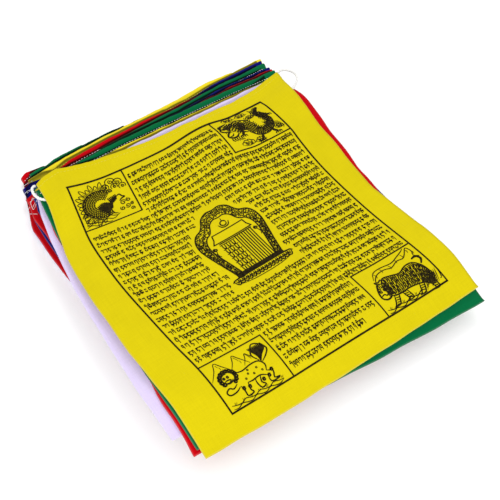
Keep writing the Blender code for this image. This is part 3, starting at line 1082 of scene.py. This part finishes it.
def draw_dragon(paper):
    """A dragon whose body is one curve, with scales, fins and a mane in loops along it."""
    spine = [Vector(p) for p in DRAGON_SPINE]
    spread = []
    for a, b in zip(spine, spine[1:]):
        spread += [a.lerp(b, step / 8) for step in range(8)]
    back = []
    belly = []
    for number, place in enumerate(spread[:-1]):
        ahead = (spread[number + 1] - place).normalized()
        side = Vector((-ahead.y, ahead.x))
        half = DRAGON_HALF * (1 - (number / len(spread)) ** 1.1) + 0.5
        back.append(place + side * half)
        belly.append(place - side * half)
        for row in (-0.6, -0.2, 0.2, 0.6):
            scale = place + side * half * row + ahead * (0.35 if number % 2 else 0)
            paper.stroke([scale + side * 0.55, scale + ahead * 0.75, scale - side * 0.55], FINE * 1.1, 0.8)
        if number % 2 == 0:
            paper.stroke([place + side * half, place + side * (half + 2) - ahead * 1.2], BOLD, 0.3)
            paper.stroke([place - side * half, place - side * half * 0.55 + ahead * 0.4], FINE, 0.5)
    paper.stroke(back[::3] + back[-1:], BOLD)
    paper.stroke(belly[::3] + belly[-1:], BOLD)
    for step in range(13):
        angle = math.radians(-35 + step * 15)
        out = Vector((math.cos(angle), math.sin(angle)))
        root = Vector((9.5, 18.5)) + out * 3.4
        bend = root + out * 3 + Vector((0.6, 0.4))
        paper.stroke([root, bend, root + out * 5.4 + Vector((2, -0.4))], BOLD * 1.3, 0.4)
    paper.stroke([(11, 22), (7.5, 22.6), (5, 21.4), (2.6, 22.4), (1.8, 20.6), (4, 18.8), (8, 18.4)],
                 BOLD * 1.3)
    paper.stroke([(8, 18.4), (5, 16.4), (3.6, 13.6), (6.2, 12), (9.6, 12.6), (12, 15)], BOLD * 1.3)
    paper.stroke([(4.6, 13.6), (7, 14), (8.6, 16)], BOLD)
    paper.stroke(ring(7.6, 20.4, 0.9, 6), BOLD)
    for step in range(5):
        paper.stroke([(4 + step * 1.3, 18.2), (4.3 + step * 1.3, 17)], BOLD, 0.3)
        paper.stroke([(5.4 + step * 1.6, 12.4), (4.6 + step * 1.7, 10), (5.8 + step * 1.8, 8.4)],
                     BOLD, 0.4)
    for step in range(6):
        paper.stroke([(2.4, 21.8), (1.6 + step * 0.5, 24.4), (3.4 + step * 1.4, 26.6 + step * 0.3)],
                     FINE, 0.4)
    for x, y, lean in DRAGON_FEET:
        paper.stroke([(x, y + 2), (x + lean * 0.4, y - 1.4), (x + lean, y - 3)], BOLD * 2, 0.7)
        for step in range(4):
            paper.stroke([(x + lean, y - 3), (x + lean - 2 + step * 1.4, y - 4),
                          (x + lean - 2.2 + step * 1.6, y - 5.4)], BOLD, 0.3)
    for step in range(9):
        x = 30.5 + step * 1.25
        paper.stroke([(x - 1, 24.5 - step * 0.7), (x + 1, 28 - step), (x + 0.4, 31.5 - step * 1.4)],
                     BOLD, 0.3)
        paper.stroke([(x + 1.5, 16 - step * 0.6), (x + 3, 13.5 - step), (x + 1.8, 11.5 - step)],
                     FINE * 1.2, 0.3)
    for cloud in ((12.5, 30.5, 8), (23, 29.5, 8), (27.5, 24, 6), (13, 4, 9), (22, 3, 7), (40.5, 6, 6)):
        draw_cloud(paper, *cloud)


# %% Lion
def draw_lion(paper):
    """A lion before peaks: its outline as listed lines, mane and tail as curls in loops."""
    draw_peaks(paper, ((8, 29, 7), (19, 28, 6), (25.5, 25.5, 4)), 19)
    for line in (
            ((13, 18.5), (18, 17), (24, 18), (29, 17.5), (31, 14), (29.5, 10.5)),
            ((29.5, 10.5), (32.5, 8.5), (31, 5), (34, 4.2), (31.5, 3.6), (28.3, 4.2), (28.6, 8)),
            ((28.6, 8), (25, 10), (20, 9.5), (17, 9.8)),
            ((25, 10), (23.5, 6.5), (25, 4.4), (22, 3.7), (21, 7), (21.5, 9.5)),
            ((17, 9.8), (16, 6), (16.8, 4), (13, 3.6), (13, 7), (12.5, 10)),
            ((11.5, 12), (8.5, 10.5), (6.5, 11.8), (4, 10.3), (5, 8.2), (9, 8.3), (12, 9.8)),
            arc(8.8, 17.2, 3.1, 70, 330, 8),
            ring(7.4, 18, 0.55),
            ring(9.6, 18, 0.55),
            ((6.3, 15.8), (8.3, 16.3), (10.3, 15.7), (8.5, 14.4), (6.5, 15.4))):
        paper.stroke(line, BOLD)
    for step in range(13):
        angle = math.radians(-60 + step * 23)
        x = 9.6 + 4.6 * math.cos(angle)
        y = 17.4 + 4.4 * math.sin(angle)
        paper.stroke(spiral(x, y, 1.35, step * 40), BOLD)
        paper.stroke(arc(x, y, 0.6, 0, 300, 5), BOLD)
    for step in range(11):
        lean = (step - 5) * 0.75
        paper.stroke([(30.5, 16.5), (32 + lean * 0.3, 20), (33.5 + lean, 23.5),
                      (32.5 + lean * 1.1, 27)], BOLD * 1.1)
    paper.stroke([(30, 17.5), (28, 22), (30, 26), (32.5, 28.5), (36, 26.5), (38, 22), (35, 18.5),
                  (31, 16)], BOLD)
    for x, y in ((20, 14), (23, 12.5), (26, 14.8), (17.5, 12), (28, 12), (21, 16)):
        paper.stroke(ring(x, y, 0.45))
    for x, y in ((32.4, 9.6), (13.4, 8), (25.6, 7), (29.4, 7.4), (16.8, 7.4)):
        paper.stroke(spiral(x, y, 1.1, 30), BOLD)
    draw_ground(paper, 39, 2.6)


# %% Tiger
TIGER_BACK = ((10, 17), (14, 21.5), (20, 20.5), (26, 19), (32, 21), (38, 20.5), (42, 15.5), (43.5, 9))
TIGER_BELLY = ((9.5, 10), (13, 8.5), (18, 8), (24, 8.2), (30, 7.4), (35, 6), (38, 3.5), (41, 2.6))
TIGER_STRIPES = 34


def draw_tiger(paper):
    """A crouching tiger: two lines of its body, and stripes from the one to the other."""
    paper.stroke(TIGER_BACK, BOLD)
    paper.stroke(TIGER_BELLY, BOLD)
    rng = random.Random(8)
    for step in range(TIGER_STRIPES):
        share = step / (TIGER_STRIPES - 1)
        high = between_points(TIGER_BACK, share)
        low = between_points(TIGER_BELLY, share)
        for start, end in ((0.02, 0.3), (0.24, 0.55), (0.5, 0.78), (0.72, 0.97)):
            start = high.lerp(low, start + rng.uniform(-0.04, 0.04))
            end = high.lerp(low, end + rng.uniform(-0.05, 0.03))
            bend = (start + end) / 2 + Vector((rng.uniform(0.3, 0.9), 0))
            paper.stroke([start, bend, end], BOLD * 1.15, 0.5)
    for x, y, lean in ((14, 9, -3), (19.5, 8.5, 2), (33, 7.5, -2.5), (39, 6, 2)):
        toe = (x - 3.8 + lean, y - 6.4)
        paper.stroke([(x - 1.7, y), (x - 1.8 + lean * 0.5, y - 3), (x - 2 + lean, y - 5.6), toe], BOLD)
        paper.stroke([(x + 1.8, y), (x + 1.6 + lean * 0.5, y - 3), (x + 0.8 + lean, y - 6.2), toe], BOLD)
        for step in range(4):
            paper.stroke([(x - 1.5 + lean * step * 0.2, y - 0.6 - step * 1.3),
                          (x + 1.3 + lean * step * 0.2, y - 1.1 - step * 1.3)], BOLD, 0.5)
    paper.stroke([(12, 18.5), (8.5, 19.5), (6.4, 17), (5, 14), (4.6, 10.5), (7, 8.6), (10, 9),
                  (12.4, 11)], BOLD * 1.2)
    paper.stroke([(8.6, 19.4), (7.8, 21.4), (10.2, 20.6), (12.6, 21.6), (12.4, 19)], BOLD)
    for x, y in ((6.9, 14.6), (9.9, 14.8)):
        paper.stroke(ring(x, y, 0.75, 6), BOLD)
        paper.stroke([(x - 1, y + 1.6), (x, y + 2.1), (x + 1, y + 1.5)], BOLD, 0.5)
    paper.stroke([(5, 11.6), (7.4, 12.2), (8.6, 11), (10.6, 11.8)], BOLD)
    for step in range(3):
        paper.stroke([(7.4 + step, 18.8), (7.8 + step * 0.8, 17)], BOLD, 0.3)
        paper.stroke([(11.6, 16.6 - step * 1.4), (13.6, 16.9 - step * 1.6)], BOLD, 0.3)
    paper.stroke([(8, 15.5), (9.6, 22), (14, 25.5), (20, 26), (25, 24.6), (31, 26.6), (36, 26), (39.5, 28.4),
                  (43, 31.4), (44.4, 27.4), (43, 24.2), (46, 22)], FINE * 1.15)
    paper.stroke([(9, 23), (12.6, 27.6), (19, 28.4), (27, 27.4), (33, 29), (38, 30.6), (41, 32)], FINE * 1.15)
    for x, y in ((12, 25.4), (17.6, 26.8), (24, 26), (30, 27.4), (36, 28), (41.4, 29.6), (44, 27)):
        paper.stroke([(x, y + 1), (x + 0.7, y - 0.6), (x + 0.2, y - 2.2)], FINE, 0.4)
    paper.stroke([(42.5, 17), (45, 20), (43.4, 23), (39.6, 22.6)], BOLD * 1.8, 0.5)
    for step in range(9):
        x = 33 + step * 1.5
        paper.stroke([(x, 1.4 + step % 3), (x + 1.8, 4 + step % 4), (x + 3, 7 + step * 0.5)], FINE * 1.1, 0.3)
    draw_ground(paper, 34, 2.6)


print("four animals drawn as functions")

# %% [markdown]
# ## Emblem
#
# In the middle stands a small shrine on a lotus, inside an arch of clouds. The arch's
# band is filled with curls, which at the flag's real size close up to a dark tone. That
# is how a woodcut shades, since it has no grey.

# %% Shrine in its arch
ARCH_HALF = ((0, 61.5), (5, 62), (10, 59), (13, 53.5), (15.5, 50.5), (20, 48), (23, 42.5), (23.5, 35),
             (21.5, 25), (19, 15), (17.2, 7), (16, 3))
BAND_INWARD = 0.76       # size of the arch's inner edge over its outer one
CURL_PITCH = 1.15        # between the curls that fill its band


def arch_line(size):
    """The whole arch from its left foot over the top to its right foot."""
    lift = 10 * (1 - size)
    right = [(x * size, 3 + (y - 3) * (0.4 + 0.6 * size) + lift * 0.2) for x, y in ARCH_HALF]
    left = [(-x, y) for x, y in right[:0:-1]]
    return left + right


def draw_emblem(paper):
    """The shrine on its lotus, in an arch whose band is filled with curls."""
    outer = arch_line(1.0)
    inner = arch_line(BAND_INWARD)
    paper.stroke(outer, BOLD)
    paper.stroke(inner, BOLD)
    rng = random.Random(4)
    for a, b, c, d in zip(outer, outer[1:], inner, inner[1:]):
        steps = max(1, round((Vector(b) - Vector(a)).length / CURL_PITCH))
        for step in range(steps):
            share = step / steps
            out = Vector(a).lerp(Vector(b), share)
            inn = Vector(c).lerp(Vector(d), share)
            for depth in (0.12, 0.33, 0.54, 0.75):
                place = out.lerp(inn, depth + rng.uniform(-0.06, 0.06))
                start = rng.uniform(0, 360)
                paper.stroke(arc(place.x, place.y, 0.62, start, start + 240, 4), FINE * 1.15)
    paper.stroke(ring(0.5, 47.5, 2.1, 8), BOLD)
    paper.stroke([(0.5, 49.8), (0.7, 52.2)], BOLD, 0.4)
    paper.stroke([(-3.4, 47.6), (-2, 44.8), (0.5, 44), (3, 44.8), (4.4, 47.6)], BOLD)
    roof = [(-11.5, 42), (12, 42), (12.6, 38), (14.4, 34.6), (-14.4, 34.6), (-12.4, 38), (-11.5, 42)]
    paper.line(roof, BOLD * 0.9)
    paper.line([(-11, 33.4), (13, 33.4)], BOLD * 0.9)
    for number in range(8):
        x = 0.2 + number * 1.75
        paper.line([(x, 33.4), (x, 6.5)], BOLD * 0.85)
    for level in range(6):
        y = 30.5 - level * 4.4
        paper.line([(-11.4, y + 1.6), (-1, y + 1.6)], FINE)
        for number in range(3):
            x = -10.6 + number * 3.4
            paper.stroke([(x, y + 1.4), (x + 0.2, y - 1.6), (x + 1.5, y - 2.1), (x + 1.9, y + 1.2)],
                         BOLD * 0.95, 0.7)
    for side in (-1, 1):
        paper.stroke(spiral(side * 15.6, 31, 1.5, 90), BOLD)
        paper.stroke([(side * 15.6, 29.4), (side * 16.6, 26.5), (side * 15.4, 24)], BOLD, 0.4)
    for y in (6.2, 5.3, 4.4):
        paper.line([(-17, y), (17, y)], BOLD)
    paper.stroke([(-22.5, 1.4), (-17, 3.4), (17, 3.4), (22.5, 1.4)], BOLD * 1.3)
    for number in range(15):
        x = -19.6 + number * 2.8
        paper.stroke([(x - 2, 2.6), (x - 1.4, 0), (x, -1.4), (x + 1.4, 0), (x + 2, 2.6)], BOLD)
        paper.stroke([(x - 0.7, 2), (x, 0), (x + 0.7, 2)], BOLD)
    paper.stroke([(-21, -0.8), (-10, -2.6), (10, -2.6), (21, -0.8)])


# %% [markdown]
# ## Rows of marks
#
# The rest of the print is filled with rows. Nothing is written here: a mark is a short
# head bar with one to three hanging strokes, picked by chance from a fixed seed, so the
# rows have the rhythm of a printed page and no letters of any script.

# %% Marks in rows
ROW_PITCH = 6.06         # from row to row
ROW_TOP = 188.6          # height of the uppermost row's head bars
MARK_TALL = (2.5, 4.2)   # how far a mark hangs below its bar
MARK_WIDE = (1.15, 2.1)
MARK_GAP = (0.15, 0.45)
WORD_GAP = 1.0
WORD_CHANCE = 0.22
ACCENT_CHANCE = 0.16     # of a small hook over a mark
LAST_ROW_SHORT = (10, 30)
SIDE_MARGIN = 2.2        # between the border and the rows
LOTUS_HALF = 22.5        # half the width of the emblem's foot
LOTUS_TOP = 6
EMBLEM_MARGIN = 2.5

Box = namedtuple("Box", "left low wide tall")
BOXES = {
    "bird": Box(0, 159.5, 37, PRINT_LONG - 159.5),
    "dragon": Box(112.5, 161.5, PRINT_WIDE - 112.5, PRINT_LONG - 161.5),
    "lion": Box(0, 0, 40.3, 31),
    "tiger": Box(110, 0, PRINT_WIDE - 110, 33),
}
EMBLEM_FOOT = Vector((75, 69.5))


def free_runs(y):
    """Stretches of a row that neither a box nor the emblem takes."""
    left = SIDE_MARGIN
    right = PRINT_WIDE - SIDE_MARGIN
    for box in BOXES.values():
        if box.low - 1.5 < y < box.low + box.tall + 4:
            if box.left == 0:
                left = max(left, box.wide + SIDE_MARGIN)
            else:
                right = min(right, box.left - SIDE_MARGIN)
    height = y - EMBLEM_FOOT.y
    if not -3 < height < ARCH_HALF[1][1] + 4:
        return [(left, right)]
    half = LOTUS_HALF if height < LOTUS_TOP else 0
    for (x, top), (x_below, below) in zip(ARCH_HALF, ARCH_HALF[1:]):
        if below - 4 <= height <= top + 3:
            half = max(half, x, x_below)
    half += EMBLEM_MARGIN
    return [(left, EMBLEM_FOOT.x - half), (EMBLEM_FOOT.x + half, right)]


def draw_mark(paper, rng, x, y, wide, tall):
    """One mark: a head bar and what hangs from it."""
    paper.stroke([(x, y), (x + wide, y + rng.uniform(-0.1, 0.15))], BOLD * 1.05, 0.9)
    kind = rng.randrange(7)
    foot = y - tall
    middle = x + wide / 2
    if kind in (0, 1, 4):
        paper.stroke([(x + wide * 0.85, y), (x + wide * 0.8, foot)], BOLD * 0.85, 0.45)
    if kind in (0, 2):
        paper.stroke([(x + 0.2, y - 0.3), (x + 0.3, y - tall * 0.5), (x + wide * 0.75, y - tall * 0.55)],
                     BOLD * 0.8, 0.6)
    if kind in (2, 3, 5):
        paper.stroke([(middle, y), (middle - 0.5, y - tall * 0.4), (middle + 0.5, y - tall * 0.6),
                      (middle - 0.4, foot)], BOLD * 0.8, 0.45)
    if kind in (1, 5):
        paper.stroke([(x + 0.2, y - 0.2), (x + 0.3, y - tall * 0.6)], BOLD * 0.8, 0.45)
    if kind in (3, 6):
        paper.stroke(arc(middle, y - tall * 0.5, wide * 0.38, 100, 400, 5), BOLD * 0.75, 0.7)
    if rng.random() < ACCENT_CHANCE:
        paper.stroke([(middle - 0.5, y + 0.7), (middle, y + 1.2), (middle + 0.6, y + 0.8)],
                     BOLD * 0.75, 0.6)


def draw_rows(paper):
    """All rows of marks from the top down; says how many marks there are."""
    rng = random.Random(11)
    rows = int((ROW_TOP - 4) / ROW_PITCH) + 1
    marks = 0
    for row in range(rows):
        y = ROW_TOP - row * ROW_PITCH
        for left, right in free_runs(y):
            x = left
            end = right - (rng.uniform(*LAST_ROW_SHORT) if row == rows - 1 else 0)
            while x < end - MARK_WIDE[0]:
                wide = min(rng.uniform(*MARK_WIDE), end - x)
                draw_mark(paper, rng, x, y, wide, rng.uniform(*MARK_TALL))
                x += wide + rng.uniform(*MARK_GAP)
                if rng.random() < WORD_CHANCE:
                    x += WORD_GAP * rng.uniform(0.4, 1)
                marks += 1
    return marks


paper = Paper()
paper.line([(0, PRINT_LONG), (0, 0), (PRINT_WIDE, 0), (PRINT_WIDE, PRINT_LONG)], FRAME_LINE)
paper.line([(0, PRINT_LONG), (PRINT_WIDE, PRINT_LONG)], FRAME_LINE * UPPER_LINE)
animals = {"bird": draw_bird, "dragon": draw_dragon, "lion": draw_lion, "tiger": draw_tiger}
for name, draw in animals.items():
    box = BOXES[name]
    right = box.left + box.wide
    top = box.low + box.tall
    inner_x = right if box.left == 0 else box.left
    inner_y = box.low if top > PRINT_LONG - 1 else top
    outer_x = box.left if box.left == 0 else right
    outer_y = top if top > PRINT_LONG - 1 else box.low
    paper.corner = Vector((0, 0))
    paper.line([(inner_x, outer_y), (inner_x, inner_y), (outer_x, inner_y)], FRAME_LINE * 0.85)
    paper.corner = Vector((box.left, box.low))
    draw(paper)
paper.corner = EMBLEM_FOOT
draw_emblem(paper)
paper.corner = Vector((0, 0))
print("marks drawn:", draw_rows(paper))

# %% [markdown]
# ## The print on the cloth
#
# Damp cotton moves under the block, so the printed frame isn't a rectangle: its upper
# line waves and its sides follow the flag's bent sides. Its four lines are set by a few
# points each, in millimetres from the print's middle, and a Coons patch carries every
# stroke to its place. Then each point of ink goes a hair above the cloth.

# %% Lay the print on the top flag
PRINT_MIDDLE = Vector((-8.4, -28.2))     # in the frame, in millimetres
INK_LIFT = 0.14 * MM
PRINT_EDGES = {
    "foot": ((-79.7, -100.6), (-39.7, -100.6), (29.7, -99.7), (77.8, -98.5)),
    "heading": ((-81.2, 88.6), (-70, 87.2), (-45, 85.6), (-30, 86.6), (-6, 89.5), (17, 94),
                (31, 95), (44, 93.4), (52, 93.6), (76, 95.5)),
    "left": ((-79.7, -100.6), (-81.6, -72), (-84.5, -48), (-86.8, -22), (-88.3, 0), (-88.5, 20),
             (-87.5, 45), (-84.4, 66), (-81.2, 88.6)),
    "right": ((77.8, -98.5), (75.8, -70), (73.7, -32), (74.3, 10), (77.9, 49), (78.9, 65), (76, 95.5)),
}


def smooth_line(points):
    """A soft curve in plan through points of the print's frame."""
    return [(p.xy + PRINT_MIDDLE) * MM for p in soft_route([(x, y, 0) for x, y in points])]


class Patch:
    """Carries a point of the flat print to its place in plan."""

    def __init__(self, edges):
        self.edges = {name: smooth_line(points) for name, points in edges.items()}

    plan = Bed.plan


print_patch = Patch(PRINT_EDGES)
top_cloth = cloths[TOP].data
corners = [v.co for v in top_cloth.vertices]
cloth_tree = BVHTree.FromPolygons(corners, [p.vertices for p in top_cloth.polygons])
ink_mesh = mesh_from(paper.bm, "print")
for vert in ink_mesh.vertices:
    place = print_patch.plan(vert.co.x / PRINT_WIDE, vert.co.y / PRINT_LONG)
    hit, facing, _, _ = cloth_tree.ray_cast(Vector((place.x, place.y, 1)), -UP)
    vert.co = hit + facing * INK_LIFT if facing.z > 0 else hit - facing * INK_LIFT
add_piece("print", ink_mesh, ink_finish, "yellow")
print("ink ribbons:", len(ink_mesh.polygons), "faces")
